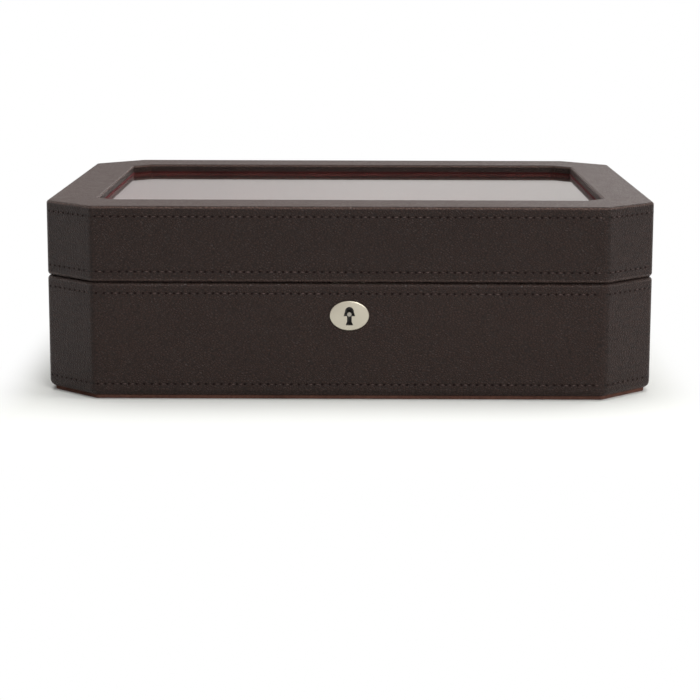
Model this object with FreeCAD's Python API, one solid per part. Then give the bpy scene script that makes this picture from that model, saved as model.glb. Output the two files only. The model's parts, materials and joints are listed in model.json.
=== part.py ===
"""Leather-covered watch box with cut corners, a glazed hinged lid and a key lock.

Sizes are in millimetres. +Z is up and the lock faces -Y. The origin lies on the
resting plane, under the middle of the whole box with its hinges and escutcheon.
"""
import FreeCAD, Part
import math
import os

# Leather outside of the closed box
box_length = 270.0
box_depth = 226.0
box_height = 85.6
seam_height = 52.1
seam_gap = 0.3
corner_cut = 22.5
corner_round = 4.5
lid_top_round = 1.2
seam_round = 1.5
foot_round = 3.0

# Layers of the walls, from outside to inside
leather_thickness = 1.0
wood_wall = 8.0
lining_thickness = 1.0

# Bottom, from the table upwards
pad_thickness = 1.7
pad_inset = 2.5
pad_edge_round = 0.5
base_panel_thickness = 5.0
floor_lining_thickness = 1.2

# Window in the lid
window_side_rail = 21.0
window_front_rail = 27.5
window_corner_cut = 8.5
window_corner_round = 1.5
window_edge_round = 1.0
window_lip_thickness = 2.5
seat_strip_thickness = 0.5
seat_strip_proud = 0.3
glass_thickness = 4.0
glass_overlap = 4.0
glass_play = 0.3
retainer_thickness = 1.5

# Compartments and cushions
column_count = 4
row_count = 2
divider_thickness = 3.0
divider_top_drop = 4.5
divider_edge_round = 1.2
divider_end_gap = 0.2
halving_gap = 0.1
cushion_side_gap = 3.1
cushion_end_gap = 10.7
cushion_seat_gap = 0.3
cushion_below_rim = 1.35
cushion_section_round = 16.0
cushion_side_bevel = 5.0

# Stop hinges on the back
hinge_from_end = 55.0
hinge_width = 32.0
hinge_centre_knuckle = 11.0
knuckle_gap = 0.2
knuckle_radius = 1.6
knuckle_clearance = 0.3
hinge_pin_radius = 0.75
hinge_pin_play = 0.05
hinge_pin_behind_back = 0.3
leaf_thickness = 1.0
leaf_edge_margin = 1.5
flange_thickness = 0.6
flange_drop = 5.5
flange_leather_gap = 0.05
heel_length = 3.0
heel_thickness = 1.0
stop_contact_angle = 97.5
hinge_screw_spacing = 11.0

# Countersunk screws
screw_head_radius = 1.5
screw_shank_radius = 0.8
screw_length = 7.0

# Box lock in the front wall
lock_length = 31.2
lock_height = 19.85
lock_inner_thickness = 3.6
lock_sheet = 0.6
lock_pocket_play = 0.1
lock_face_length = 40.0
lock_face_width = 6.4
lock_face_thickness = 1.0
lock_screw_margin = 2.7
inlay_play = 0.1

# Staples of the strike plate, and the bolt that slides through them
staple_spacing = 12.0
staple_thickness = 1.5
staple_width = 3.0
staple_drop = 8.95
staple_foot = 1.2
staple_eye_height = 2.6
staple_eye_width = 1.8
staple_slot_play = 0.4
bolt_travel = 3.5
bolt_thickness = 1.2
bolt_eye_play = 0.3
bolt_tip_gap = 0.5
bolt_tongue_length = 5.0
bolt_riser_length = 2.0
bolt_bar_height = 2.2
bolt_bar_gap = 0.4
bolt_bar_tail = 4.25
bolt_ledge_gap = 0.1
ledge_height = 1.2
ledge_length = 3.0
ledge_from_post = 5.0
talon_width = 3.0
talon_depth = 1.4
spring_thickness = 0.35
spring_width = 2.4
spring_reach = 7.5
spring_rise = 4.0
spring_bow = 0.7
spring_bolt_gap = 0.1

# Keyhole and escutcheon, measured from the lock's post
post_below_rim = 13.6
post_radius = 0.95
post_recess = 0.6
keyhole_dome_radius = 1.9
keyhole_dome_rise = 1.5
keyhole_shoulder_half = 2.5
keyhole_shoulder_drop = 0.7
keyhole_slot_half = 1.0
keyhole_slot_drop = 3.0
keyhole_foot_half = 1.65
keyhole_foot_drop = 4.75
keyhole_bushing_play = 0.6
escutcheon_length = 17.3
escutcheon_height = 13.1
escutcheon_proud = 1.2
escutcheon_dome_rise = 0.55
escutcheon_edge_round = 0.45
escutcheon_centre_below_post = 0.55

# How far two places may differ and still count as the same
tolerance = 1e-3

# Heights and planes that follow from the sizes above
base_rim = seam_height - seam_gap / 2
lid_rim = seam_height + seam_gap / 2
wall_total = leather_thickness + wood_wall + lining_thickness
wood_inner = leather_thickness + wood_wall
floor_wood = pad_thickness + base_panel_thickness
floor_top = floor_wood + floor_lining_thickness
lid_wood_top = box_height - leather_thickness
glass_top = lid_wood_top - window_lip_thickness - seat_strip_thickness
glass_bottom = glass_top - glass_thickness
lid_ceiling = glass_bottom - retainer_thickness
window_length = box_length - 2 * window_side_rail
window_depth = box_depth - 2 * window_front_rail
divider_top = base_rim - divider_top_drop
front_y = -box_depth / 2
back_y = box_depth / 2
hinge_y = back_y + hinge_pin_behind_back
lock_y = front_y + leather_thickness + wood_wall / 2
post_z = base_rim - post_below_rim
lock_top = base_rim - lock_face_thickness
lock_bottom = lock_top - lock_height

# At the end of the lid's travel its heel lies against the top edge of the flange.
flange_face = flange_leather_gap + flange_thickness - hinge_pin_behind_back
flange_edge_drop = knuckle_radius + knuckle_clearance
heel_contact_slope = math.degrees(
    math.acos(heel_thickness / 2 / math.hypot(flange_face, flange_edge_drop))
    - math.atan2(flange_face, flange_edge_drop))
heel_rest_angle = stop_contact_angle - heel_contact_slope
heel_reach = (heel_length * math.cos(math.radians(heel_rest_angle))
              + heel_thickness / 2 * math.sin(math.radians(heel_rest_angle)))

# The hinges stand out further behind than the escutcheon does in front, so the
# middle of the whole box lies a little behind the middle of its leather walls.
middle_y = (hinge_pin_behind_back + heel_reach - escutcheon_proud) / 2


def vector(x, y, z):
    return FreeCAD.Vector(x, y, z)


def save(name, shape):
    """Write one node, moved so that the origin is under the middle of the box."""
    moved = shape.copy()
    moved.translate(vector(0, -middle_y, 0))
    moved.exportStep("parts/" + name + ".step")


def block(x0, x1, y0, y1, z0, z1):
    return Part.makeBox(x1 - x0, y1 - y0, z1 - z0, vector(x0, y0, z0))


def octagon(length, depth, cut):
    """Corners of a rectangle with cut corners, anticlockwise from the front left."""
    x = length / 2
    y = depth / 2
    return [(cut - x, -y), (x - cut, -y), (x, cut - y), (x, y - cut),
            (x - cut, y), (cut - x, y), (-x, y - cut), (-x, cut - y)]


def grown_octagon(length, depth, cut, growth):
    """The same outline with every side moved outwards by growth."""
    return octagon(length + 2 * growth, depth + 2 * growth, cut + growth * (2 - math.sqrt(2)))


def outline(inset):
    """The box's plan outline with every side moved inwards by inset."""
    return grown_octagon(box_length, box_depth, corner_cut, -inset)


def window_outline(growth):
    return grown_octagon(window_length, window_depth, window_corner_cut, growth)


def prism(corners, radius, bottom, top):
    """Upright prism on a convex outline whose corners are rounded by radius."""
    points = [vector(x, y, bottom) for x, y in corners]
    edges = []
    stops = []
    for index, point in enumerate(points):
        before = (points[index - 1] - point).normalize()
        after = (points[(index + 1) % len(points)] - point).normalize()
        half_angle = before.getAngle(after) / 2
        inward = (before + after).normalize()
        reach = radius / math.tan(half_angle)
        middle = point + inward * (radius / math.sin(half_angle) - radius)
        stops.append((point + before * reach, middle, point + after * reach))
    for index, (start, middle, end) in enumerate(stops):
        if radius > 0:
            edges.append(Part.Arc(start, middle, end).toShape())
        following = stops[(index + 1) % len(stops)][0]
        edges.append(Part.LineSegment(end, following).toShape())
    return Part.Face(Part.Wire(edges)).extrude(vector(0, 0, top - bottom))


def soften(shape, height, radius):
    """Round the outer edges that lie in the plane at the given height."""
    if radius <= 0:
        return shape
    edges = [edge for edge in shape.Edges
             if edge.BoundBox.ZLength < tolerance and abs(edge.BoundBox.ZMin - height) < tolerance]
    return shape.makeFillet(radius, edges)


def cylinder_x(radius, x0, x1, y, z):
    return Part.makeCylinder(radius, x1 - x0, vector(x0, y, z), vector(1, 0, 0))


def countersunk_screw(x, y, head_z, direction):
    """Screw whose flat head lies at head_z and whose shank runs up (1) or down (-1)."""
    along = vector(0, 0, direction)
    head_depth = screw_head_radius - screw_shank_radius
    start = vector(x, y, head_z)
    head = Part.makeCone(screw_head_radius, screw_shank_radius, head_depth, start, along)
    shank = Part.makeCylinder(screw_shank_radius, screw_length - head_depth, start + along * head_depth, along)
    return head.fuse(shank).removeSplitter()


def without(shape, cutters):
    for cutter in cutters:
        shape = shape.cut(cutter)
    return shape


# Screw places

def hinge_centres():
    reach = box_length / 2 - hinge_from_end
    return [-reach, reach]


def leaf_front_y():
    return back_y - wall_total + leaf_edge_margin


def hinge_screws(centre, head_z, direction):
    y = (leaf_front_y() + back_y - leather_thickness) / 2
    return [countersunk_screw(centre + step * hinge_screw_spacing, y, head_z, direction) for step in (-1, 0, 1)]


def lock_plate_screws(head_z, direction):
    reach = lock_face_length / 2 - lock_screw_margin
    return [countersunk_screw(side * reach, lock_y, head_z, direction) for side in (-1, 1)]


# Room that the ironmongery takes out of leather and wood

def hinge_room(centre, plate_bottom, plate_top):
    """Recess for one leaf and the round channel in which the knuckles turn."""
    half = hinge_width / 2 + inlay_play
    recess = block(centre - half, centre + half, leaf_front_y() - inlay_play, hinge_y, plate_bottom, plate_top)
    channel = cylinder_x(knuckle_radius + knuckle_clearance, centre - half, centre + half, hinge_y, seam_height)
    return recess.fuse(channel)


def lock_plate_room(plate_bottom, plate_top):
    half = lock_face_length / 2 + inlay_play
    side = lock_face_width / 2 + inlay_play
    return block(-half, half, lock_y - side, lock_y + side, plate_bottom, plate_top)


def lock_pocket():
    half = lock_length / 2 + lock_pocket_play
    side = lock_inner_thickness / 2 + lock_sheet + lock_pocket_play
    return block(-half, half, lock_y - side, lock_y + side, lock_bottom - lock_pocket_play, base_rim)


def keyhole(play, y0, y1):
    """Prism with the keyhole's outline: a domed head on shoulders, and a slot with a foot."""
    dome = keyhole_dome_radius + play
    top_z = post_z + keyhole_dome_rise
    shoulder = keyhole_shoulder_half + play
    shoulder_z = post_z - keyhole_shoulder_drop - play
    slot = keyhole_slot_half + play
    foot = keyhole_foot_half + play
    slot_z = post_z - keyhole_slot_drop
    foot_z = post_z - keyhole_foot_drop - play
    right = [(dome, top_z), (shoulder, shoulder_z), (slot, shoulder_z), (slot, slot_z), (foot, foot_z)]
    left = [(-x, z) for x, z in reversed(right)]
    points = [vector(x, y0, z) for x, z in right + left]
    edges = [Part.LineSegment(start, end).toShape() for start, end in zip(points, points[1:])]
    edges.append(Part.Arc(points[-1], vector(0, y0, top_z + dome), points[0]).toShape())
    return Part.Face(Part.Wire(edges)).extrude(vector(0, y1 - y0, 0))


# Wooden carcass: eight mitred boards in each half

def wood_envelope(bottom, top, bottom_round, top_round):
    """The outside of the wood, which is also the inside of the leather."""
    body = prism(outline(leather_thickness), corner_round - leather_thickness, bottom, top)
    body = soften(body, bottom, bottom_round - leather_thickness)
    return soften(body, top, top_round - leather_thickness)


def mitred_boards(envelope, bottom, top):
    """Cut the ring between the envelope and its inner faces at the eight mitres."""
    ring = envelope.cut(prism(outline(wood_inner), 0, bottom - 1, top + 1))
    outside = outline(-wood_wall)
    inside = outline(wood_inner + wood_wall)
    boards = []
    for side in range(8):
        following = (side + 1) % 8
        wedge = [outside[side], outside[following], inside[following], inside[side]]
        boards.append(ring.common(prism(wedge, 0, bottom - 1, top + 1)))
    return boards


BOARD_NAMES = ["front_wall", "front_right_corner", "right_wall", "back_right_corner",
               "back_wall", "back_left_corner", "left_wall", "front_left_corner"]


def base_envelope():
    return wood_envelope(pad_thickness + leather_thickness, base_rim - leather_thickness, foot_round, seam_round)


def lid_envelope():
    return wood_envelope(lid_rim + leather_thickness, lid_wood_top, seam_round, lid_top_round)


def make_base_boards():
    bottom = pad_thickness + leather_thickness
    top = base_rim - leather_thickness
    for name, board in zip(BOARD_NAMES, mitred_boards(base_envelope(), bottom, top)):
        if name == "front_wall":
            opening = keyhole(keyhole_bushing_play, front_y, lock_y)
            board = without(board, [lock_pocket(), opening] + lock_plate_screws(base_rim, -1))
        if name == "back_wall":
            for centre in hinge_centres():
                room = hinge_room(centre, base_rim - leaf_thickness, base_rim)
                board = without(board, [room] + hinge_screws(centre, base_rim, -1))
        save("base_" + name, board)


def make_lid_boards():
    bottom = lid_rim + leather_thickness
    under_panel = lid_envelope().common(block(-box_length, box_length, -box_depth, box_depth, bottom, glass_bottom))
    for name, board in zip(BOARD_NAMES, mitred_boards(under_panel, bottom, glass_bottom)):
        if name == "front_wall":
            board = without(board, lock_plate_screws(lid_rim, 1))
        if name == "back_wall":
            for centre in hinge_centres():
                room = hinge_room(centre, lid_rim, lid_rim + leaf_thickness)
                board = without(board, [room] + hinge_screws(centre, lid_rim, 1))
        save("lid_" + name, board)


def make_lid_top_panel():
    """Top panel with the window cut through it and a rebate below for the glass."""
    panel = lid_envelope().common(block(-box_length, box_length, -box_depth, box_depth, glass_bottom, lid_wood_top))
    opening = prism(window_outline(leather_thickness), window_corner_round, glass_bottom - 1, lid_wood_top + 1)
    rebate = prism(window_outline(glass_overlap + glass_play), window_corner_round, glass_bottom - 1,
                   glass_top + seat_strip_thickness)
    save("lid_top_panel", panel.cut(opening).cut(rebate))


# Leather coverings, each drawn over its outside edges and turned in

def make_base_leather():
    skin = prism(outline(0), corner_round, pad_thickness, base_rim)
    skin = soften(skin, pad_thickness, foot_round)
    skin = soften(skin, base_rim, seam_round)
    skin = skin.cut(base_envelope())
    under_rim = prism(outline(wood_inner), 0, pad_thickness - 1, base_rim - leather_thickness)
    rim_opening = prism(outline(wall_total), 0, pad_thickness, box_height)
    rooms = [hinge_room(centre, base_rim - leaf_thickness, base_rim) for centre in hinge_centres()]
    rooms.append(lock_plate_room(lock_top, base_rim))
    rooms.append(keyhole(keyhole_bushing_play, front_y - 1, lock_y))
    save("base_leather", without(skin, [under_rim, rim_opening] + rooms))


def window_top_edges(skin):
    """Edges of the window where it meets the top of the lid."""
    reach_x = window_length / 2 + tolerance
    reach_y = window_depth / 2 + tolerance
    near = FreeCAD.BoundBox(-reach_x, -reach_y, box_height - tolerance, reach_x, reach_y, box_height + tolerance)
    return [edge for edge in skin.Edges if near.isInside(edge.BoundBox)]


def make_lid_leather():
    """Covering of the lid, which also turns down into the window."""
    skin = prism(outline(0), corner_round, lid_rim, box_height)
    skin = soften(skin, lid_rim, seam_round)
    skin = soften(skin, box_height, lid_top_round)
    lip_bottom = lid_wood_top - window_lip_thickness
    turned_in = prism(window_outline(leather_thickness), window_corner_round, lip_bottom, lid_wood_top)
    over_rim = prism(outline(wood_inner), 0, lid_rim + leather_thickness, lip_bottom)
    rim_opening = prism(outline(wall_total), 0, 0, lip_bottom)
    window = prism(window_outline(0), window_corner_round, lip_bottom - 1, box_height)
    skin = without(skin, [lid_envelope().cut(turned_in), over_rim, rim_opening, window])
    skin = skin.makeFillet(window_edge_round, window_top_edges(skin))
    rooms = [hinge_room(centre, lid_rim, lid_rim + leaf_thickness) for centre in hinge_centres()]
    rooms.append(lock_plate_room(lid_rim, lid_rim + lock_face_thickness))
    save("lid_leather", without(skin, rooms))


# Glazing

def make_glazing():
    strip = prism(window_outline(glass_overlap), window_corner_round, glass_top, glass_top + seat_strip_thickness)
    opening = prism(window_outline(-seat_strip_proud), window_corner_round, glass_top - 1, box_height)
    save("window_seat_strip", strip.cut(opening))
    save("glass_pane", prism(window_outline(glass_overlap), window_corner_round, glass_bottom, glass_top))
    frame = prism(outline(wood_inner), 0, lid_ceiling, glass_bottom)
    view = prism(window_outline(0), window_corner_round, lid_ceiling - 1, glass_bottom + 1)
    save("glass_retainer", frame.cut(view))


# Bottom and velvet lining

def lining_band(bottom, top):
    return prism(outline(wood_inner), 0, bottom, top).cut(prism(outline(wall_total), 0, bottom - 1, top + 1))


def make_bottom_and_lining():
    pad = prism(outline(pad_inset), corner_round - pad_inset, 0, pad_thickness)
    save("base_pad", soften(pad, 0, pad_edge_round))
    save("base_panel", prism(outline(wood_inner), 0, pad_thickness, floor_wood))
    save("base_floor_lining", prism(outline(wood_inner), 0, floor_wood, floor_top))
    save("base_wall_lining", lining_band(floor_top, base_rim - leather_thickness))
    save("lid_wall_lining", lining_band(lid_rim + leather_thickness, lid_ceiling))


# Compartments

def inner_length():
    return box_length - 2 * wall_total


def inner_depth():
    return box_depth - 2 * wall_total


def column_pitch():
    return (inner_length() + divider_thickness) / column_count


def row_pitch():
    return (inner_depth() + divider_thickness) / row_count


def divider_places(pitch, count):
    return [pitch * (index - count / 2) for index in range(1, count)]


def divider_blank(half_x, half_y):
    blank = block(-half_x, half_x, -half_y, half_y, floor_top, divider_top)
    long_edges = [edge for edge in blank.Edges
                  if edge.BoundBox.ZMin > divider_top - tolerance and edge.Length > 2 * divider_thickness]
    return blank.makeFillet(divider_edge_round, long_edges)


def halving_slot(x, y, bottom, top):
    half = divider_thickness / 2 + halving_gap
    return block(x - half, x + half, y - half, y + half, bottom, top)


def make_dividers():
    """Lengthwise and crosswise dividers, halved into each other where they cross."""
    half_way = (floor_top + divider_top) / 2
    columns = divider_places(column_pitch(), column_count)
    rows = divider_places(row_pitch(), row_count)
    for number, y in enumerate(rows, 1):
        divider = divider_blank(inner_length() / 2 - divider_end_gap, divider_thickness / 2)
        divider.translate(vector(0, y, 0))
        slots = [halving_slot(x, y, half_way, divider_top + 1) for x in columns]
        save("long_divider" if len(rows) == 1 else "long_divider_%d" % number, without(divider, slots))
    for number, x in enumerate(columns, 1):
        divider = divider_blank(divider_thickness / 2, inner_depth() / 2 - divider_end_gap)
        divider.translate(vector(x, 0, 0))
        slots = [halving_slot(x, y, floor_top - 1, half_way) for y in rows]
        save("cross_divider_%d" % number, without(divider, slots))


def cushion():
    """Watch cushion: an oblong section drawn across the compartment, with bevelled sides."""
    width = column_pitch() - divider_thickness - 2 * cushion_side_gap
    length = row_pitch() - divider_thickness - 2 * cushion_end_gap
    bottom = floor_top + cushion_seat_gap
    height = base_rim - cushion_below_rim - bottom
    corners = [(-length / 2, 0), (length / 2, 0), (length / 2, height), (-length / 2, height)]
    roll = prism(corners, cushion_section_round, 0, width)
    side_edges = [edge for edge in roll.Edges if edge.BoundBox.ZLength < tolerance]
    roll = roll.makeChamfer(cushion_side_bevel, side_edges)
    roll.rotate(vector(0, 0, 0), vector(1, 1, 1), 120)
    roll.translate(vector(-width / 2, 0, bottom))
    return roll


def make_cushions():
    pillow = cushion()
    number = 0
    for row in range(row_count):
        for column in range(column_count):
            number += 1
            x = column_pitch() * (column - (column_count - 1) / 2)
            y = row_pitch() * (row - (row_count - 1) / 2)
            placed = pillow.copy()
            placed.translate(vector(x, y, 0))
            save("watch_cushion_%d" % number, placed)


# Stop hinges

def knuckle_span(centre, middle):
    """Ends of the middle knuckle, or of the two outer ones, along the pin."""
    half = hinge_width / 2
    inner = hinge_centre_knuckle / 2
    if middle:
        return [(centre - inner, centre + inner)]
    return [(centre - half, centre - inner - knuckle_gap), (centre + inner + knuckle_gap, centre + half)]


def leaf(centre, bottom, head_z, direction, middle):
    """One leaf with its knuckles and screw holes. The middle knuckle belongs to the lid."""
    half = hinge_width / 2
    neck_y = hinge_y - knuckle_radius - knuckle_clearance
    top = bottom + leaf_thickness
    plate = block(centre - half, centre + half, leaf_front_y(), neck_y, bottom, top)
    for x0, x1 in knuckle_span(centre, middle):
        plate = plate.fuse(block(x0, x1, neck_y, hinge_y, bottom, top))
        plate = plate.fuse(cylinder_x(knuckle_radius, x0, x1, hinge_y, seam_height))
    return without(plate, hinge_screws(centre, head_z, direction))


def base_leaf(centre):
    """Fixed leaf, with the flange behind the box against which the lid's heel stops."""
    half = hinge_width / 2
    shape = leaf(centre, base_rim - leaf_thickness, base_rim, -1, False)
    y0 = back_y + flange_leather_gap
    top = seam_height - flange_edge_drop
    flange = block(centre - half, centre + half, y0, y0 + flange_thickness, seam_height - flange_drop, top)
    for x0, x1 in knuckle_span(centre, False):
        flange = flange.fuse(block(x0, x1, y0, y0 + flange_thickness, top - 1, seam_height - hinge_pin_radius))
    shape = shape.fuse(flange)
    bore = cylinder_x(hinge_pin_radius, centre - half - 1, centre + half + 1, hinge_y, seam_height)
    return shape.cut(bore).removeSplitter()


def lid_leaf(centre):
    """Moving leaf, whose middle knuckle carries the stop heel."""
    shape = leaf(centre, lid_rim, lid_rim, 1, True)
    x0, x1 = knuckle_span(centre, True)[0]
    half = heel_thickness / 2
    heel = block(x0, x1, hinge_y, hinge_y + heel_length, seam_height - half, seam_height + half)
    heel.rotate(vector(centre, hinge_y, seam_height), vector(1, 0, 0), heel_rest_angle)
    shape = shape.fuse(heel)
    bore = cylinder_x(hinge_pin_radius + hinge_pin_play, x0 - 1, x1 + 1, hinge_y, seam_height)
    return shape.cut(bore).removeSplitter()


def make_hinges():
    half = hinge_width / 2
    base_screws = []
    lid_screws = []
    for side, centre in zip(("left", "right"), hinge_centres()):
        save("hinge_%s_base_leaf" % side, base_leaf(centre))
        save("hinge_%s_lid_leaf" % side, lid_leaf(centre))
        save("hinge_%s_pin" % side, cylinder_x(hinge_pin_radius, centre - half, centre + half, hinge_y, seam_height))
        base_screws += hinge_screws(centre, base_rim, -1)
        lid_screws += hinge_screws(centre, lid_rim, 1)
    save("hinge_base_screws", Part.makeCompound(base_screws))
    save("hinge_lid_screws", Part.makeCompound(lid_screws))


# Lock: a sliding bolt that passes through two staples of the lid

staple_bottom = lid_rim - staple_drop
eye_bottom = staple_bottom + staple_foot
tongue_bottom = eye_bottom + bolt_eye_play
tongue_top = eye_bottom + staple_eye_height - bolt_eye_play
bar_top = staple_bottom - bolt_bar_gap
bar_bottom = bar_top - bolt_bar_height
ledge_top = bar_bottom - bolt_ledge_gap
case_inner_half = lock_length / 2 - lock_sheet


def staple_places():
    return [-staple_spacing / 2, staple_spacing / 2]


def lock_slab(x0, x1, thickness, z0, z1):
    return block(x0, x1, lock_y - thickness / 2, lock_y + thickness / 2, z0, z1)


def make_lock_case():
    """Folded case with its back plate and the two ledges that carry the bolt."""
    outer = lock_inner_thickness / 2 + lock_sheet
    inner = lock_inner_thickness / 2
    case = block(-lock_length / 2, lock_length / 2, lock_y - inner, lock_y + outer, lock_bottom, lock_top)
    hollow = block(-case_inner_half, case_inner_half, lock_y - inner - 1, lock_y + inner,
                   lock_bottom + lock_sheet, lock_top + 1)
    case = case.cut(hollow)
    for x0 in (-ledge_from_post - ledge_length, ledge_from_post):
        ledge = lock_slab(x0, x0 + ledge_length, lock_inner_thickness, ledge_top - ledge_height, ledge_top)
        case = case.fuse(ledge)
    save("lock_case", case.removeSplitter())
    cap = block(-lock_length / 2, lock_length / 2, lock_y - outer, lock_y - inner, lock_bottom, lock_top)
    save("lock_cap", cap.cut(keyhole(0, front_y, lock_y)))


def make_lock_post():
    front = front_y - escutcheon_proud + post_recess
    back = lock_y + lock_inner_thickness / 2
    post = Part.makeCylinder(post_radius, back - front, vector(0, front, post_z), vector(0, 1, 0))
    save("lock_post", post)


def make_lock_bolt():
    """Bolt at rest, drawn back to the left of both staples."""
    parts = []
    for place in staple_places():
        tip = place - staple_thickness / 2 - bolt_tip_gap
        root = tip - bolt_tongue_length
        parts.append(lock_slab(root - bolt_riser_length, tip, bolt_thickness, tongue_bottom, tongue_top))
        parts.append(lock_slab(root - bolt_riser_length, root, bolt_thickness, bar_bottom, tongue_top))
    left = staple_places()[0] - staple_thickness / 2 - bolt_tip_gap - bolt_tongue_length - bolt_riser_length
    right = staple_places()[1] - staple_thickness / 2 - bolt_tip_gap + bolt_bar_tail
    bolt = lock_slab(left, right, bolt_thickness, bar_bottom, bar_top)
    for part in parts:
        bolt = bolt.fuse(part)
    talon_middle = -bolt_travel / 2
    talon = lock_slab(talon_middle - talon_width / 2, talon_middle + talon_width / 2, 2 * bolt_thickness,
                      bar_bottom - 1, bar_bottom + talon_depth)
    save("lock_bolt", bolt.cut(talon).removeSplitter())


def make_lock_spring():
    """Bowed leaf spring that bears on the bar of the bolt."""
    y = lock_y - spring_width / 2
    anchor = vector(case_inner_half, y, bar_top + spring_bolt_gap + spring_rise)
    toe = vector(case_inner_half - spring_reach, y, bar_top + spring_bolt_gap)
    middle = (anchor + toe) * 0.5 + vector(spring_bow, 0, -spring_bow)
    lift = vector(0, 0, spring_thickness)
    lower = Part.Arc(anchor, middle, toe).toShape()
    upper = Part.Arc(toe + lift, middle + lift, anchor + lift).toShape()
    toe_end = Part.LineSegment(toe, toe + lift).toShape()
    anchor_end = Part.LineSegment(anchor + lift, anchor).toShape()
    section = Part.Face(Part.Wire([lower, toe_end, upper, anchor_end]))
    save("lock_spring", section.extrude(vector(0, spring_width, 0)))


def make_lock_face():
    """Plate let into the base's rim, with a slot for each staple."""
    half = lock_face_length / 2
    face = lock_slab(-half, half, lock_face_width, lock_top, base_rim)
    slots = []
    for place in staple_places():
        x_half = staple_thickness / 2 + staple_slot_play
        slots.append(lock_slab(place - x_half, place + x_half, staple_width + 2 * staple_slot_play,
                               lock_top - 1, base_rim + 1))
    screws = lock_plate_screws(base_rim, -1)
    save("lock_face", without(face, slots + screws))
    save("lock_screws", Part.makeCompound(screws))


def make_strike_plate():
    """Plate let into the lid's rim, with two staples that drop into the lock."""
    half = lock_face_length / 2
    plate = lock_slab(-half, half, lock_face_width, lid_rim, lid_rim + lock_face_thickness)
    for place in staple_places():
        x_half = staple_thickness / 2
        staple = lock_slab(place - x_half, place + x_half, staple_width, staple_bottom, lid_rim)
        eye = lock_slab(place - x_half, place + x_half, staple_eye_width, eye_bottom, eye_bottom + staple_eye_height)
        plate = plate.fuse(staple.cut(eye))
    screws = lock_plate_screws(lid_rim, 1)
    save("strike_plate", without(plate, screws).removeSplitter())
    save("strike_screws", Part.makeCompound(screws))


def make_escutcheon():
    """Oval plate with a shallow domed face, an eased edge and the keyhole through it."""
    centre_z = post_z - escutcheon_centre_below_post
    oval = Part.Ellipse(vector(0, 0, 0), escutcheon_length / 2, escutcheon_height / 2)
    plate = Part.Face(Part.Wire(oval.toShape())).extrude(vector(0, 0, escutcheon_proud))
    dome_radius = ((escutcheon_length / 2) ** 2 + escutcheon_dome_rise ** 2) / (2 * escutcheon_dome_rise)
    plate = plate.common(Part.makeSphere(dome_radius, vector(0, 0, escutcheon_proud - dome_radius)))
    front_edges = [edge for edge in plate.Edges if edge.BoundBox.ZMin > tolerance and edge.isClosed()]
    plate = plate.makeFillet(escutcheon_edge_round, front_edges)
    plate.rotate(vector(0, 0, 0), vector(1, 0, 0), 90)
    plate.translate(vector(0, front_y, centre_z))
    save("escutcheon", plate.cut(keyhole(0, front_y - escutcheon_proud - 1, front_y + 1)))


def main():
    os.makedirs("parts", exist_ok=True)
    make_bottom_and_lining()
    make_base_boards()
    make_base_leather()
    make_lid_boards()
    make_lid_top_panel()
    make_lid_leather()
    make_glazing()
    make_dividers()
    make_cushions()
    make_hinges()
    make_lock_case()
    make_lock_post()
    make_lock_bolt()
    make_lock_spring()
    make_lock_face()
    make_strike_plate()
    make_escutcheon()


main()
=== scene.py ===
"""Looks of the leather-covered watch box: materials, stitching, cushions, camera and light."""
import json
import math

import bmesh
import bpy
from mathutils import Matrix, Vector

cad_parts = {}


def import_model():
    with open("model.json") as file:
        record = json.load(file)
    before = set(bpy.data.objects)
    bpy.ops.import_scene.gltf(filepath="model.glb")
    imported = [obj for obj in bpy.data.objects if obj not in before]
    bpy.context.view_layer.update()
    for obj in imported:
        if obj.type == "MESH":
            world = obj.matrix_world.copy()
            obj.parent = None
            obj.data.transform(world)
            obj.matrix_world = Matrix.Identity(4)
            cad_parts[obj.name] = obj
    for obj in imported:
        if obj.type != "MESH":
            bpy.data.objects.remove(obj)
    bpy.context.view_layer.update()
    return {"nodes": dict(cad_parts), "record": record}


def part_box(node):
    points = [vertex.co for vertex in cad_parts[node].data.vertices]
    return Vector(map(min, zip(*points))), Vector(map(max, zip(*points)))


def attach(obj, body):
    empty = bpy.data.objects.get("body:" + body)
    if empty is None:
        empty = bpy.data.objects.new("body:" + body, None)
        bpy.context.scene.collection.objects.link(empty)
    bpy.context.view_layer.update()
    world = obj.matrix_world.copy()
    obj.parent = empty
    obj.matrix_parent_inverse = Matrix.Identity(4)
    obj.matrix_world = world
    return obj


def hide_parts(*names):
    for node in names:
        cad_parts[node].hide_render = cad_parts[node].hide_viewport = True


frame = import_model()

nodes = frame["nodes"]
MM = 0.001

# Sizes read from the frame
base_low, base_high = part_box("base_leather")
lid_low, lid_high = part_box("lid_leather")
middle = (lid_low + lid_high) / 2
half_length = (lid_high.x - lid_low.x) / 2
half_depth = (lid_high.y - lid_low.y) / 2

# Cut corners of the leather walls, as in the part's source
corner_cut = 22.5 * MM
corner_round = 4.5 * MM
half_corner_turn = math.radians(22.5)

# Stitching
stitch_pitch = 3.4 * MM
stitch_from_edge = 4.6 * MM
stitch_from_foot = 5.3 * MM
thread_radius = 0.30 * MM
thread_sink = 0.10 * MM
thread_share = 0.72
thread_end_share = 0.35
thread_dive = 1.3
thread_rings = 5
thread_sides = 6
# Needle holes: flat dark discs of painted shade on the leather
needle_hole_long = 0.55 * MM
needle_hole_high = 0.50 * MM
needle_hole_rise = 0.02 * MM
needle_hole_sides = 8

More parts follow.
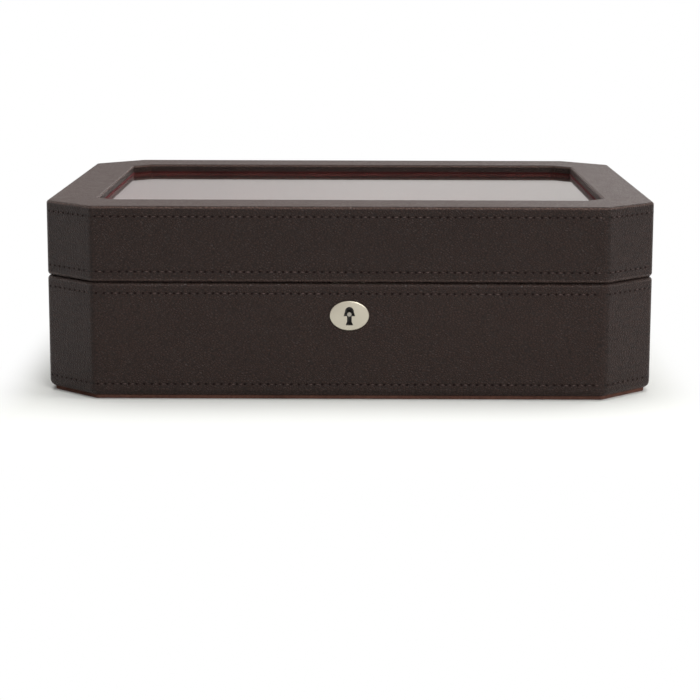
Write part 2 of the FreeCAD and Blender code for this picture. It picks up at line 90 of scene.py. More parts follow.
# Grain of the leather
leather_dark = (0.0205, 0.0102, 0.0078)
leather_light = (0.0290, 0.0155, 0.0120)
leather_patch_scale = 35
leather_gloss_scale = 240
leather_roughness = (0.38, 0.52)
pebble_scale = 820
pebble_flattening = 1.35
pebble_crease_width = 0.34
pebble_depth = 0.20 * MM
pebble_warp_scale = 400
pebble_warp = 0.7 * MM
pore_scale = 2600
pore_depth = 0.10 * MM
groove_half_width = 0.8 * MM
groove_depth = 0.15 * MM
corner_face_depth = 0.4 * MM
corner_crease_scale = 700
corner_crease_stretch = (0.25, 0.25, 1.5)

# Edges with painted highlights, and the painted shade below the top's edge and in the seam: places
top_edge_highlight_drop = 0.7 * MM
seam_edge_highlight_drop = 0.9 * MM
edge_highlight_reach = 0.8 * MM
top_edge_shade_drop = 0.25 * MM
top_edge_shade_half_width = 0.22 * MM
seam_shade_reach = 0.75 * MM
seam_shade_depth = 1.3 * MM

# Painted light and shade, creases and grooves: what the leather's colour is multiplied by there (painted
# light on the base and the lid's top, painted shade on the lid's sides, painted highlights on the edges,
# painted shade below the top's edge and in the seam)
base_painted_light = (1.03, 1.03, 1.03)
lid_side_painted_shade = (0.93, 0.93, 0.93)
lid_top_painted_light = (1.20, 1.20, 1.20)
painted_highlight_tint = (0.85, 1.0, 1.08)
# Painted highlights: how many times lighter each edge is painted
top_edge_painted_highlight = 5.5
lid_seam_edge_painted_highlight = 3.0
base_seam_edge_painted_highlight = 2.3
pebble_crease_tint = 0.35
groove_tint = 0.80
top_edge_painted_shade = 0.45
seam_painted_shade = 0.15
corner_crease_tint = 0.55
corner_groove_tint = 0.45
worn_edge_roughness_share = 0.50

# Velvet: scales of its patterns, and the dark and light tone of each kind
pile_scale = 2600
pile_depth = 0.2 * MM
tuft_scale = 700
tuft_depth = 0.5 * MM
brushed_scale = 38
velvet_tones = {
    "lining_velvet": ((0.090, 0.0140, 0.0140), (0.165, 0.0290, 0.0280)),
    "cushion_velvet": ((0.095, 0.0140, 0.0145), (0.178, 0.0310, 0.0300)),
    # The pad: its own browner colour, made lighter as painted light against the shade under the box
    "brown_pad_velvet_painted_light": ((0.088, 0.0400, 0.0290), (0.125, 0.0580, 0.0420)),
    # The seat strip: a darker copy of the lining velvet, painted shade
    "strip_velvet_painted_shade": ((0.026, 0.0065, 0.0055), (0.040, 0.0100, 0.0085)),
    # The retainer: a lighter copy of the lining velvet, painted light
    "retainer_velvet_painted_light": ((0.168, 0.0270, 0.0240), (0.262, 0.0460, 0.0410)),
}

# Metals: how much lighter their clouds are, and the colour and roughness of each
metal_cloud_lighter = 1.16
metal_looks = {
    "satin_nickel": ((0.465, 0.433, 0.352), 0.26, 0.40),
    "lock_steel": ((0.13, 0.13, 0.125), 0.40, 0.60),
    "screw_steel": ((0.27, 0.26, 0.235), 0.30, 0.45),
    "dull_post": ((0.29, 0.275, 0.235), 0.40, 0.55),
}

# Nodes that look different from the rest of their slot; the retainer's and the seat strip's velvet are
# lighter and darker copies of the lining, as painted light and shade, and the pad's is its own browner
# colour lightened as painted light
own_looks = {
    "base_pad": "brown_pad_velvet_painted_light",
    "window_seat_strip": "strip_velvet_painted_shade",
    "glass_retainer": "retainer_velvet_painted_light",
    "hinge_base_screws": "screw_steel",
    "hinge_lid_screws": "screw_steel",
    "lock_screws": "screw_steel",
    "strike_screws": "screw_steel",
    "lock_post": "dull_post",
}

# Watch cushions
cushion_count = 8
cushion_start_share = 0.93
cushion_voxel = 4 * MM
cushion_swell = 3.0 * MM
cushion_pressure = 4.0
cushion_cloth_quality = 6
cushion_frames = 20
piping_from_side = 6.0 * MM
piping_radius = 0.75 * MM

# Floor: its half size, how much brighter than its lit colour it is seen, and where it turns white
floor_half_size = 6.0
floor_colour = (0.78, 0.785, 0.755, 1)
floor_lift = 0.06
floor_lift_colour = (1, 1, 0.99, 1)
floor_clear_beside = 30 * MM
floor_clear_before = 140 * MM

# Light of the room from the left and the right, and what reflections see of the room
ambient_left = 0.0
ambient_right = 0.34
reflected_white = (0.69, 0.65, 0.635)
reflected_shade = (0.56, 0.515, 0.505)
reflected_shade_ends = (-0.12, 0.01)
reflected_overhead = (1.0, 0.96, 0.94)
reflected_overhead_ends = (0.10, 0.35)

# Camera of the photograph, measured from the middle of the box's front at floor level
photo_size = 700
photo_focal_pixels = 2108.2
sensor_width = 36.0
camera_from_front = Vector((5.48, -909.8, 186.5)) * MM
camera_pitch = math.radians(10.22)
camera_yaw = math.radians(0.326)
camera_roll = math.radians(0.141)

black = (0, 0, 0)
white = (1, 1, 1)


def grey(value):
    """Colour with three equal parts."""
    return (value,) * 3


# Node helpers for materials and for the world

def faded(tree, source, ends=(0, 1), low=0.0, high=1.0):
    """Value that runs from low to high while the source runs from one end to the other."""
    node = tree.nodes.new("ShaderNodeMapRange")
    for name, value in (("From Min", ends[0]), ("From Max", ends[1]), ("To Min", low), ("To Max", high)):
        node.inputs[name].default_value = value
    tree.links.new(source, node.inputs["Value"])
    return node.outputs["Result"]


def blended(tree, share, one, other):
    """Colour between two others, each of them a plain colour or a socket."""
    node = tree.nodes.new("ShaderNodeMix")
    node.data_type = "RGBA"
    tree.links.new(share, node.inputs["Factor"])
    for socket, value in ((node.inputs["A"], one), (node.inputs["B"], other)):
        if isinstance(value, tuple):
            socket.default_value = (*value, 1)
        else:
            tree.links.new(value, socket)
    return node.outputs["Result"]


def chosen(tree, share, one, other):
    """The first shader where the share is 0, and the other where it is 1."""
    node = tree.nodes.new("ShaderNodeMixShader")
    tree.links.new(share, node.inputs["Fac"])
    tree.links.new(one, node.inputs[1])
    tree.links.new(other, node.inputs[2])
    return node.outputs["Shader"]


def seen_directly(tree):
    """1 for camera, glossy and transmission rays, 0 for light that falls on things."""
    path = tree.nodes.new("ShaderNodeLightPath")
    total = path.outputs["Is Camera Ray"]
    for kind in ("Is Glossy Ray", "Is Transmission Ray"):
        most = tree.nodes.new("ShaderNodeMath")
        most.operation = "MAXIMUM"
        tree.links.new(total, most.inputs[0])
        tree.links.new(path.outputs[kind], most.inputs[1])
        total = most.outputs[0]
    return total


class Shader:
    """A material under construction: adds nodes and joins them by socket name."""

    def __init__(self, name):
        self.material = bpy.data.materials.new(name)
        self.material.use_nodes = True
        self.tree = self.material.node_tree
        self.surface = self.tree.nodes["Principled BSDF"]
        self.output = self.tree.nodes["Material Output"]

    def add(self, kind, **values):
        node = self.tree.nodes.new(kind)
        for key, value in values.items():
            setattr(node, key, value)
        return node

    def join(self, source, target):
        self.tree.links.new(source, target)

    def set(self, **values):
        """Constants of the surface, with _ for each space in a socket's name."""
        for key, value in values.items():
            self.surface.inputs[key.replace("_", " ")].default_value = value

    def place(self):
        return self.add("ShaderNodeTexCoord").outputs["Object"]

    def stretched(self, factors):
        """The place, each axis multiplied by its factor."""
        node = self.add("ShaderNodeVectorMath", operation="MULTIPLY")
        self.join(self.place(), node.inputs[0])
        node.inputs[1].default_value = factors
        return node.outputs[0]

    def axes(self):
        split = self.add("ShaderNodeSeparateXYZ")
        self.join(self.place(), split.inputs["Vector"])
        return split.outputs

    def noise(self, scale, detail=3.0, roughness=0.55, place=None):
        node = self.add("ShaderNodeTexNoise")
        node.inputs["Scale"].default_value = scale
        node.inputs["Detail"].default_value = detail
        node.inputs["Roughness"].default_value = roughness
        self.join(place or self.place(), node.inputs["Vector"])
        return node.outputs["Fac"]

    def noise_colour(self, scale):
        node = self.add("ShaderNodeTexNoise")
        node.inputs["Scale"].default_value = scale
        self.join(self.place(), node.inputs["Vector"])
        return node.outputs["Color"]

    def cells(self, scale, place):
        """Distance to the nearest border between random cells."""
        node = self.add("ShaderNodeTexVoronoi", feature="DISTANCE_TO_EDGE")
        node.inputs["Scale"].default_value = scale
        self.join(place, node.inputs["Vector"])
        return node.outputs["Distance"]

    def ramp(self, source, *stops):
        node = self.add("ShaderNodeValToRGB")
        while len(node.color_ramp.elements) < len(stops):
            node.color_ramp.elements.new(0.5)
        for element, (position, colour) in zip(node.color_ramp.elements, stops):
            element.position = position
            element.color = (*colour, 1)
        self.join(source, node.inputs["Fac"])
        return node.outputs["Color"]

    def scaled(self, source, low, high):
        return faded(self.tree, source, low=low, high=high)

    def mixed(self, share, one, other):
        return blended(self.tree, share, one, other)

    def multiplied(self, one, other):
        node = self.add("ShaderNodeMix", data_type="RGBA", blend_type="MULTIPLY")
        node.inputs["Factor"].default_value = 1.0
        self.join(one, node.inputs["A"])
        self.join(other, node.inputs["B"])
        return node.outputs["Result"]

    def tinted(self, tone, mask, tint, full=1.0):
        """The tone, multiplied by the tint where the mask is 0 and unchanged where it is full."""
        return self.multiplied(tone, self.ramp(mask, (0.0, tint), (full, white)))

    def bump(self, height, strength, distance, below=None):
        node = self.add("ShaderNodeBump")
        node.inputs["Strength"].default_value = strength
        node.inputs["Distance"].default_value = distance
        self.join(height, node.inputs["Height"])
        if below is not None:
            self.join(below, node.inputs["Normal"])
        return node.outputs["Normal"]

    def reckon(self, operation, *values):
        """Result of one sum on sockets and numbers."""
        node = self.add("ShaderNodeMath", operation=operation)
        for socket, value in zip(node.inputs, values):
            if isinstance(value, (int, float)):
                socket.default_value = value
            else:
                self.join(value, socket)
        return node.outputs[0]

    def away_from(self, value, centre, half_width):
        """0 where the value is at the centre, rising to 1 at half the width."""
        share = self.add("ShaderNodeMapRange", interpolation_type="SMOOTHSTEP")
        share.inputs["From Max"].default_value = half_width
        self.join(self.reckon("ABSOLUTE", self.reckon("SUBTRACT", value, centre)), share.inputs["Value"])
        return share.outputs["Result"]

    def grooves(self, heights, half_width):
        """1 away from the given heights, falling to 0 on each of them."""
        z = self.axes()["Z"]
        result = self.away_from(z, heights[0], half_width)
        for height in heights[1:]:
            result = self.reckon("MINIMUM", result, self.away_from(z, height, half_width))
        return result

    def from_middle(self):
        """How far a place is from the box's middle to the side and in depth."""
        axes = self.axes()
        return (self.reckon("ABSOLUTE", self.reckon("SUBTRACT", axes["X"], middle.x)),
                self.reckon("ABSOLUTE", self.reckon("SUBTRACT", axes["Y"], middle.y)))

    def side_inset(self):
        """How far inside the box's four sides a place is, seen from above."""
        x, y = self.from_middle()
        return self.reckon("MINIMUM", self.reckon("SUBTRACT", half_length, x),
                           self.reckon("SUBTRACT", half_depth, y))

    def corner_inset(self):
        """How far inside the box's four cut corners a place is, seen from above."""
        x, y = self.from_middle()
        across = self.reckon("SUBTRACT", half_length + half_depth - corner_cut, self.reckon("ADD", x, y))
        return self.reckon("MULTIPLY", across, math.sqrt(0.5))

    def off_corner_faces(self):
        """0 on the faces of the cut corners, and 1 elsewhere."""
        return self.reckon("GREATER_THAN", self.corner_inset(), corner_face_depth)


# Leather

def highlit_edges():
    """Height of each edge with a painted highlight, and how much lighter it is painted."""
    return [(lid_high.z - top_edge_highlight_drop, top_edge_painted_highlight),
            (lid_low.z + seam_edge_highlight_drop, lid_seam_edge_painted_highlight),
            (base_high.z - seam_edge_highlight_drop, base_seam_edge_painted_highlight)]


def stitch_heights():
    """Height of each row of stitches, two on the lid and two on the base."""
    return [lid_high.z - stitch_from_edge, lid_low.z + stitch_from_edge,
            base_high.z - stitch_from_edge, base_low.z + stitch_from_foot]


def pebbles(m):
    """1 on the raised cells of the grain, and 0 in the creases between them."""
    warp = m.add("ShaderNodeVectorMath", operation="MULTIPLY_ADD")
    m.join(m.noise_colour(pebble_warp_scale), warp.inputs[0])
    warp.inputs[1].default_value = grey(pebble_warp)
    m.join(m.stretched((1, 1, pebble_flattening)), warp.inputs[2])
    return m.ramp(m.cells(pebble_scale, warp.outputs[0]), (0.0, black), (pebble_crease_width, white))


def seam_shade_mask(m):
    """0 at the mouth of the seam between lid and base, where its painted shade goes, and 1 above, below and
    behind it.
    """
    near = m.grooves([(lid_low.z + base_high.z) / 2], seam_shade_reach)
    inset = m.reckon("MINIMUM", m.side_inset(), m.corner_inset())
    return m.reckon("MAXIMUM", near, m.reckon("GREATER_THAN", inset, seam_shade_depth))


def corner_creases(m, groove):
    """Tints of the level creases and the darker stitch grooves on the corner faces."""
    creases = m.noise(corner_crease_scale, 4, 0.7, place=m.stretched(corner_crease_stretch))
    creases = m.ramp(creases, (0.38, grey(corner_crease_tint)), (0.62, white))
    creases = m.tinted(creases, groove, grey(corner_groove_tint), 0.8)
    return m.mixed(m.off_corner_faces(), creases, white)


def leather_tone(m, cells, groove):
    """Colour of the leather, darker in its creases, with painted light and shade on the lid and the base,
    painted highlights on its edges and painted shade in the seam.
    """
    tone = m.mixed(m.noise(leather_patch_scale, 4, 0.6), leather_dark, leather_light)
    tone = m.tinted(tone, cells, grey(pebble_crease_tint), 0.6)
    tone = m.tinted(tone, groove, grey(groove_tint), 0.8)
    # Painted light and shade: the base lighter, the lid's sides darker and the lid's top lighter
    z = m.axes()["Z"]
    on_lid = m.reckon("GREATER_THAN", z, lid_low.z)
    tone = m.multiplied(tone, m.mixed(on_lid, base_painted_light, lid_side_painted_shade))
    on_top = m.reckon("GREATER_THAN", z, lid_high.z - top_edge_shade_drop)
    tone = m.multiplied(tone, m.mixed(on_top, white, lid_top_painted_light))
    # Painted shade: a dark line just below the edge of the lid's top
    top_edge_shade = m.grooves([lid_high.z - top_edge_shade_drop], top_edge_shade_half_width)
    tone = m.tinted(tone, top_edge_shade, grey(top_edge_painted_shade))
    # Painted shade in the mouth of the seam
    tone = m.tinted(tone, seam_shade_mask(m), grey(seam_painted_shade))
    tone = m.multiplied(tone, corner_creases(m, groove))
    # Painted highlights along the edges, greyer than the leather
    for height, lighter in highlit_edges():
        painted_highlight = tuple(lighter * part for part in painted_highlight_tint)
        tone = m.tinted(tone, m.grooves([height], edge_highlight_reach), painted_highlight)
    return tone


def leather():
    """Pebbled leather with pores, sewn grooves, creased corner faces, painted highlights on its glossier
    edges and painted shade in the seam.
    """
    m = Shader("dark_brown_leather")
    cells = pebbles(m)
    groove = m.grooves(stitch_heights(), groove_half_width)
    grain = m.bump(cells, 1.0, pebble_depth)
    grain = m.bump(m.noise(pore_scale, 4, 0.65), 0.35, pore_depth, below=grain)
    grain = m.bump(groove, 1.0, groove_depth, below=grain)
    m.join(grain, m.surface.inputs["Normal"])
    m.join(leather_tone(m, cells, groove), m.surface.inputs["Base Color"])
    highlit_mask = m.grooves([height for height, lighter in highlit_edges()], edge_highlight_reach)
    gloss = m.scaled(m.noise(leather_gloss_scale, 3), *leather_roughness)
    gloss = m.tinted(gloss, highlit_mask, grey(worn_edge_roughness_share))
    m.join(gloss, m.surface.inputs["Roughness"])
    m.set(Specular_IOR_Level=0.17, Sheen_Weight=0.06, Sheen_Roughness=0.5)
    m.set(Sheen_Tint=(0.75, 0.55, 0.50, 1))
    return m.material


# Other materials

def velvet(name, dark, light):
    """Short pile: a burgundy cloth that brightens where it is seen at a slant."""
    m = Shader(name)
    pile = m.noise(pile_scale, 3, 0.7)
    tufts = m.noise(tuft_scale, 3, 0.65)
    brushed = m.ramp(m.noise(brushed_scale, 4, 0.65), (0.36, black), (0.64, white))
    tone = m.mixed(brushed, dark, light)
    tone = m.multiplied(tone, m.ramp(tufts, (0.30, grey(0.62)), (0.62, white)))
    m.join(tone, m.surface.inputs["Base Color"])
    m.join(m.bump(pile, 0.35, pile_depth, below=m.bump(tufts, 0.6, tuft_depth)), m.surface.inputs["Normal"])
    m.join(m.scaled(pile, 0.78, 0.95), m.surface.inputs["Roughness"])
    m.set(Sheen_Weight=0.22, Sheen_Roughness=0.4, Specular_IOR_Level=0.15)
    m.set(Sheen_Tint=(0.62, 0.20, 0.22, 1))
    return m.material


def fibreboard():
    """Pressed wood fibres, seen only where the covering is off."""
    m = Shader("carcass_fibreboard")
    fibres = m.noise(900, 4, 0.7)
    m.join(m.mixed(fibres, (0.30, 0.20, 0.115), (0.43, 0.30, 0.18)), m.surface.inputs["Base Color"])
    m.join(m.bump(fibres, 0.3, 0.2 * MM), m.surface.inputs["Normal"])
    m.set(Roughness=0.85)
    return m.material


def glass():
    """Clear pane. Shadow rays pass through it, so that the lining below is lit."""
    m = Shader("window_glass")
    m.set(Base_Color=(0.97, 0.985, 0.98, 1), Roughness=0.0, IOR=1.52, Transmission_Weight=1.0)
    m.join(m.scaled(m.noise(18, 2), 0.0, 0.012), m.surface.inputs["Roughness"])
    clear = m.add("ShaderNodeBsdfTransparent")
    clear.inputs["Color"].default_value = (0.94, 0.96, 0.95, 1)
    shadow = m.add("ShaderNodeLightPath").outputs["Is Shadow Ray"]
    pane = chosen(m.tree, shadow, m.surface.outputs["BSDF"], clear.outputs["BSDF"])
    m.join(pane, m.output.inputs["Surface"])
    return m.material


def metal(name, colour, smoothest, roughest):
    """Satin plated metal with a fine random grain in its gloss."""
    m = Shader(name)
    grain = m.noise(3200, 3, 0.7)
    lighter = tuple(min(1.0, metal_cloud_lighter * part) for part in colour)
    m.join(m.mixed(m.noise(120, 3), colour, lighter), m.surface.inputs["Base Color"])
    m.join(m.scaled(grain, smoothest, roughest), m.surface.inputs["Roughness"])
    m.join(m.bump(grain, 0.12, 0.05 * MM), m.surface.inputs["Normal"])
    m.set(Metallic=1.0)
    return m.material


def thread():
    """Sewing thread: waxed dark, with painted highlights that make some stretches lighter."""
    m = Shader("dark_thread")
    strands = m.noise(5200, 2)
    # Painted highlight: lighter stretches of thread
    painted_highlight = m.ramp(m.noise(150, 2), (0.42, black), (0.60, white))
    dark = m.mixed(strands, (0.022, 0.0125, 0.011), (0.040, 0.024, 0.021))
    light = m.mixed(strands, (0.060, 0.038, 0.035), (0.115, 0.078, 0.072))
    m.join(m.mixed(painted_highlight, dark, light), m.surface.inputs["Base Color"])
    m.join(m.bump(strands, 0.4, 0.1 * MM), m.surface.inputs["Normal"])
    m.set(Roughness=0.7, Specular_IOR_Level=0.2)
    return m.material


def needle_hole_shade():
    """Painted shade of a needle hole, paler on the corner faces."""
    m = Shader("needle_hole_shade")
    dark = m.mixed(m.noise(3000, 2), (0.004, 0.0022, 0.0022), (0.015, 0.008, 0.0075))
    pale = (0.015, 0.0085, 0.0075)
    m.join(m.mixed(m.off_corner_faces(), pale, dark), m.surface.inputs["Base Color"])
    m.set(Roughness=0.9, Specular_IOR_Level=0.05)
    return m.material


materials = {"cover_leather": leather(), "carcass_board": fibreboard(), "window_glass": glass()}
for name, tones in velvet_tones.items():
    materials[name] = velvet(name, *tones)
for name, look in metal_looks.items():
    materials[name] = metal(name, *look)
stitch_finishes = (thread(), needle_hole_shade())


def give(piece, material):
    """Gives a piece its one material."""
    piece.data.materials.clear()
    piece.data.materials.append(material)


def dress_frame():
    """Gives each CAD node its own look, or else the look of its slot."""
    for part in frame["record"]["subparts"]:
        node = part["node"]
        give(nodes[node], materials[own_looks.get(node, part["material_slot"])])


def new_piece(name, mesh, finishes, body):
    """Piece that rides a body, with its finishes in the order of its faces' numbers."""
    for finish in finishes:
        mesh.materials.append(finish)
    piece = bpy.data.objects.new(name, mesh)
    bpy.context.scene.collection.objects.link(piece)
    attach(piece, body)
    return piece


# Stitching: one sunk thread segment per stitch, and between them the needle holes as dark discs of painted
# shade

def wall_corners():
    """Corners of the leather walls in plan, in order round the box."""
    x = half_length
    y = half_depth
    near_x = x - corner_cut
    near_y = y - corner_cut
    corners = [(-near_x, -y), (near_x, -y), (x, -near_y), (x, near_y),
               (near_x, y), (-near_x, y), (-x, near_y), (-x, -near_y)]
    return [Vector((px + middle.x, py + middle.y)) for px, py in corners]


def stitch_places():
    """Where each stitch has its middle, the direction it runs in and its outward normal."""
    corners = wall_corners()
    kink = corner_round * math.tan(half_corner_turn)
    places = []
    for start, end in zip(corners, corners[1:] + corners[:1]):
        along = (end - start).normalized()
        outward = Vector((along.y, -along.x))
        run = (end - start).length - 2 * kink
        count = round(run / stitch_pitch)
        for index in range(count):
            at = start + along * (kink + (index + 0.5) * run / count)
            places.append((at, along, outward))
    return places


def add_thread(bm, centre, along, outward):
    """Thread segment: a slim spindle whose ends dive into the leather."""
    length = stitch_pitch * thread_share
    across = along.cross(outward).normalized()
    loops = []
    for ring in range(thread_rings):
        t = ring / (thread_rings - 1)
        swell = thread_radius * (thread_end_share + (1 - thread_end_share) * math.sin(math.pi * t))
        dip = thread_radius * thread_dive * (2 * t - 1) ** 2
        core = centre + along * (t - 0.5) * length - outward * dip
        loop = []
        for side in range(thread_sides):
            angle = 2 * math.pi * side / thread_sides
            loop.append(bm.verts.new(core + across * (math.cos(angle) * swell)
                                     + outward * (math.sin(angle) * swell)))
        loops.append(loop)
    for lower, upper in zip(loops, loops[1:]):
        for side in range(thread_sides):
            following = (side + 1) % thread_sides
            bm.faces.new((lower[side], lower[following], upper[following], upper[side]))
    bm.faces.new(tuple(reversed(loops[0])))
    bm.faces.new(tuple(loops[-1]))


def add_hole_shade(bm, centre, along, outward):
    """Painted shade of a needle hole: a thin dark disc on the leather's surface, drawn out along the seam.
    """
    up = along.cross(outward).normalized()
    rim = []
    for side in range(needle_hole_sides):
        angle = 2 * math.pi * side / needle_hole_sides
        rim.append(bm.verts.new(centre + along * (needle_hole_long * math.cos(angle))
                                + up * (needle_hole_high * math.sin(angle))))
    face = bm.faces.new(rim)
    face.normal_update()
    if face.normal.dot(outward) < 0:
        face.normal_flip()
    face.material_index = 1


def stitch_row(name, height, body):
    """One row of stitches round the box. Thread has finish 0 and the painted shade of the holes has finish
    1.
    """
    bm = bmesh.new()
    for at, along, outward in stitch_places():
        surface = Vector((at.x, at.y, height))
        along = along.to_3d()
        outward = outward.to_3d()
        add_thread(bm, surface - outward * thread_sink, along, outward)
        add_hole_shade(bm, surface + outward * needle_hole_rise - along * stitch_pitch / 2, along, outward)
    mesh = bpy.data.meshes.new(name)
    bm.to_mesh(mesh)
    bm.free()
    for face in mesh.polygons:
        face.use_smooth = face.material_index == 0
    new_piece(name, mesh, stitch_finishes, body)


def stitch_rows():
    """The four rows of stitches, each on the body that its name starts with."""
    names = ("lid_upper_stitches", "lid_lower_stitches", "base_upper_stitches", "base_lower_stitches")
    for name, height in zip(names, stitch_heights()):
        stitch_row(name, height, name.split("_")[0])


# Watch cushions: one is swollen by cloth simulation, and the others repeat it

def apply_modifiers(piece):
    """Replaces a piece's mesh with the shape that its modifiers give it."""
    shaped = piece.evaluated_get(bpy.context.evaluated_depsgraph_get())
    mesh = bpy.data.meshes.new_from_object(shaped)
    piece.modifiers.clear()
    piece.data = mesh


def swell(trial):
    """Lets the cover settle over its filling, as a cloth under pressure."""
    cloth = trial.modifiers.new("cloth", "CLOTH")
    cloth.settings.quality = cushion_cloth_quality
    cloth.settings.use_pressure = True
    cloth.settings.uniform_pressure_force = cushion_pressure
    cloth.settings.effector_weights.gravity = 0
    for step in range(1, cushion_frames + 1):
        bpy.context.scene.frame_set(step)
    apply_modifiers(trial)
    bpy.context.scene.frame_set(1)


def swollen_cushion():
    """Mesh of the first cushion, held within the CAD cushion's box."""
    source = nodes["watch_cushion_1"].data.copy()
    low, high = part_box("watch_cushion_1")
    centre = (low + high) / 2
    shrink = Matrix.Scale(cushion_start_share, 4)
    source.transform(Matrix.Translation(centre) @ shrink @ Matrix.Translation(-centre))
    trial = bpy.data.objects.new("cushion_trial", source)
    bpy.context.scene.collection.objects.link(trial)
    remesh = trial.modifiers.new("remesh", "REMESH")
    remesh.mode = "VOXEL"
    remesh.voxel_size = cushion_voxel
    apply_modifiers(trial)
    start = [vertex.co.copy() for vertex in trial.data.vertices]
    swell(trial)
    for vertex, rest in zip(trial.data.vertices, start):
        move = vertex.co - rest
        if move.length > cushion_swell:
            vertex.co = rest + move.normalized() * cushion_swell
        vertex.co = [max(least, min(most, part)) for least, most, part in zip(low, high, vertex.co)]
    smooth = trial.modifiers.new("subdivision", "SUBSURF")
    smooth.levels = 1
    smooth.render_levels = 1
    apply_modifiers(trial)
    mesh = trial.data
    bpy.data.objects.remove(trial)
    return mesh


def section_outline(mesh, x):
    """Points where the cushion's surface crosses a plane of equal x, in order round its middle."""
    bm = bmesh.new()
    bm.from_mesh(mesh)
    cut = bmesh.ops.bisect_plane(bm, geom=bm.verts[:] + bm.edges[:] + bm.faces[:],
                                 plane_co=(x, 0, 0), plane_no=(1, 0, 0))
    points = [item.co.copy() for item in cut["geom_cut"] if isinstance(item, bmesh.types.BMVert)]
    bm.free()
    middle_y = sum(point.y for point in points) / len(points)
    middle_z = sum(point.z for point in points) / len(points)
    return sorted(points, key=lambda point: math.atan2(point.z - middle_z, point.y - middle_y))


def piping(mesh, x):
    """Round cord sewn along the cushion's side seam."""
    points = section_outline(mesh, x)
    curve = bpy.data.curves.new("piping", "CURVE")
    curve.dimensions = "3D"
    curve.bevel_depth = piping_radius
    curve.bevel_resolution = 2
    spline = curve.splines.new("NURBS")
    spline.points.add(len(points) - 1)
    for target, point in zip(spline.points, points):
        target.co = (*point, 1)
    spline.use_cyclic_u = True
    spline.order_u = 3
    spline.resolution_u = 2
    line = bpy.data.objects.new("piping", curve)
    tube = bpy.data.meshes.new_from_object(line)
    bpy.data.objects.remove(line)
    return tube


def watch_cushions():
    """A swollen, piped cushion in place of each solid one."""
    body_mesh = swollen_cushion()
    low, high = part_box("watch_cushion_1")
    bm = bmesh.new()
    bm.from_mesh(body_mesh)
    for x in (low.x + piping_from_side, high.x - piping_from_side):
        bm.from_mesh(piping(body_mesh, x))
    pillow = bpy.data.meshes.new("watch_cushion")
    bm.to_mesh(pillow)
    bm.free()
    for face in pillow.polygons:
        face.use_smooth = True
        face.material_index = 0
    for number in range(1, cushion_count + 1):
        node = "watch_cushion_%d" % number
        body = "cushion_%d" % number
        mesh = pillow.copy()
        mesh.transform(Matrix.Translation(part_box(node)[0] - low))
        piece = new_piece(node + "_soft", mesh, (materials["cushion_velvet"],), body)
        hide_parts(node)


# Stage, light and camera

def clear_of_shadow(m):
    """0 on the floor close to the box, rising to 1 where the floor turns white."""
    axes = m.axes()
    beside = m.reckon("SUBTRACT", m.reckon("ABSOLUTE", axes["X"]), half_length)
    before = m.reckon("SUBTRACT", m.reckon("ABSOLUTE", axes["Y"]), half_depth)
    away = m.reckon("MAXIMUM", m.reckon("DIVIDE", beside, floor_clear_beside),
                    m.reckon("DIVIDE", before, floor_clear_before))
    fade = m.add("ShaderNodeMapRange", interpolation_type="SMOOTHSTEP")
    m.join(away, fade.inputs["Value"])
    return fade.outputs["Result"]


def pale_floor():
    """Matt floor. Where it is seen, it is lifted a little, and white away from the box."""
    m = Shader("pale_floor")
    m.set(Base_Color=floor_colour, Specular_IOR_Level=0.1)
    m.join(m.scaled(m.noise(2.0), 0.75, 0.85), m.surface.inputs["Roughness"])
    lit = m.surface.outputs["BSDF"]
    glow = m.add("ShaderNodeEmission")
    glow.inputs["Color"].default_value = floor_lift_colour
    glow.inputs["Strength"].default_value = floor_lift
    lifted = m.add("ShaderNodeAddShader")
    m.join(lit, lifted.inputs[0])
    m.join(glow.outputs["Emission"], lifted.inputs[1])
    far = m.add("ShaderNodeEmission")
    shown = chosen(m.tree, clear_of_shadow(m), lifted.outputs["Shader"], far.outputs["Emission"])
    m.join(chosen(m.tree, seen_directly(m.tree), lit, shown), m.output.inputs["Surface"])
    return m.material


def floor():
    """Pale floor that keeps the shadow near the box and turns plain white away from it."""
    bm = bmesh.new()
    bmesh.ops.create_grid(bm, x_segments=2, y_segments=2, size=floor_half_size)
    mesh = bpy.data.meshes.new("floor")
    bm.to_mesh(mesh)
    bm.free()
    piece = bpy.data.objects.new("floor", mesh)
    bpy.context.scene.collection.objects.link(piece)
    give(piece, pale_floor())


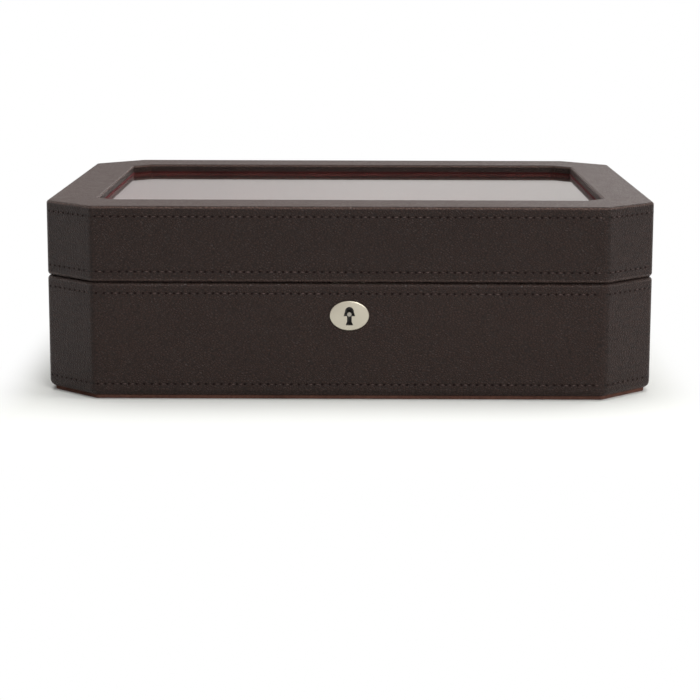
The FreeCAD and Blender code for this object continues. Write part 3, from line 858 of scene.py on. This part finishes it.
def world():
    """White behind the box. Its light grows to the right, and reflections see a duller
    backdrop and a bright ceiling."""
    scene_world = bpy.data.worlds.new("studio")
    bpy.context.scene.world = scene_world
    scene_world.use_nodes = True
    tree = scene_world.node_tree
    direction = tree.nodes.new("ShaderNodeSeparateXYZ")
    tree.links.new(tree.nodes.new("ShaderNodeTexCoord").outputs["Generated"], direction.inputs["Vector"])
    rightward = direction.outputs["X"]
    upward = direction.outputs["Z"]
    ambient = tree.nodes["Background"]
    ambient.inputs["Color"].default_value = (*white, 1)
    strength = faded(tree, rightward, (-1, 1), ambient_left, ambient_right)
    tree.links.new(strength, ambient.inputs["Strength"])
    plain = tree.nodes.new("ShaderNodeBackground")
    plain.inputs["Color"].default_value = (*white, 1)
    mirrored = tree.nodes.new("ShaderNodeBackground")
    lighter = faded(tree, rightward, reflected_shade_ends)
    backdrop = blended(tree, lighter, reflected_shade, reflected_white)
    overhead = faded(tree, upward, reflected_overhead_ends)
    tree.links.new(blended(tree, overhead, backdrop, reflected_overhead), mirrored.inputs["Color"])
    seen = chosen(tree, seen_directly(tree), ambient.outputs["Background"], plain.outputs["Background"])
    glossy = tree.nodes.new("ShaderNodeLightPath").outputs["Is Glossy Ray"]
    shown = chosen(tree, glossy, seen, mirrored.outputs["Background"])
    tree.links.new(shown, tree.nodes["World Output"].inputs["Surface"])


def soft_box(name, place, target, size, power):
    """Rectangular lamp that faces its target."""
    data = bpy.data.lights.new(name, "AREA")
    data.shape = "RECTANGLE"
    data.size, data.size_y = size
    data.energy = power
    lamp = bpy.data.objects.new(name, data)
    bpy.context.scene.collection.objects.link(lamp)
    lamp.location = place
    lamp.rotation_euler = (Vector(target) - Vector(place)).to_track_quat("-Z", "Y").to_euler()
    return lamp


def lights():
    """Four soft boxes. The first two would show as bright patches in the glass, so reflections miss them."""
    top = soft_box("top_light", place=(0.08, 0.22, 1.5), target=(0.08, 0.22, 0), size=(1.6, 1.2), power=28)
    side = soft_box("right_light", place=(1.5, -0.45, 0.35), target=(0, 0, 0.04), size=(0.8, 0.5), power=8.5)
    for lamp in (top, side):
        lamp.visible_glossy = False
        lamp.visible_transmission = False
    soft_box("front_light", place=(0.5, -1.5, 0.8), target=(0, 0, 0.04), size=(0.7, 0.7), power=13)
    soft_box("back_light", place=(0.55, 1.5, 0.5), target=(0.1, 0, 0.08), size=(0.6, 0.3), power=1)


def camera():
    """Camera at the photographer's place, looking slightly down."""
    data = bpy.data.cameras.new("photo_camera")
    data.sensor_fit = "HORIZONTAL"
    data.sensor_width = sensor_width
    data.lens = photo_focal_pixels / photo_size * sensor_width
    eye = bpy.data.objects.new("photo_camera", data)
    bpy.context.scene.collection.objects.link(eye)
    turn = Matrix.Rotation(camera_yaw, 4, "Z") @ Matrix.Rotation(math.pi / 2 - camera_pitch, 4, "X")
    turn = turn @ Matrix.Rotation(camera_roll, 4, "Z")
    place = camera_from_front + Vector((middle.x, lid_low.y, 0))
    eye.matrix_world = Matrix.Translation(place) @ turn
    bpy.context.scene.camera = eye


dress_frame()
watch_cushions()
stitch_rows()
floor()
world()
lights()
camera()

bpy.context.scene.view_settings.view_transform = "Standard"
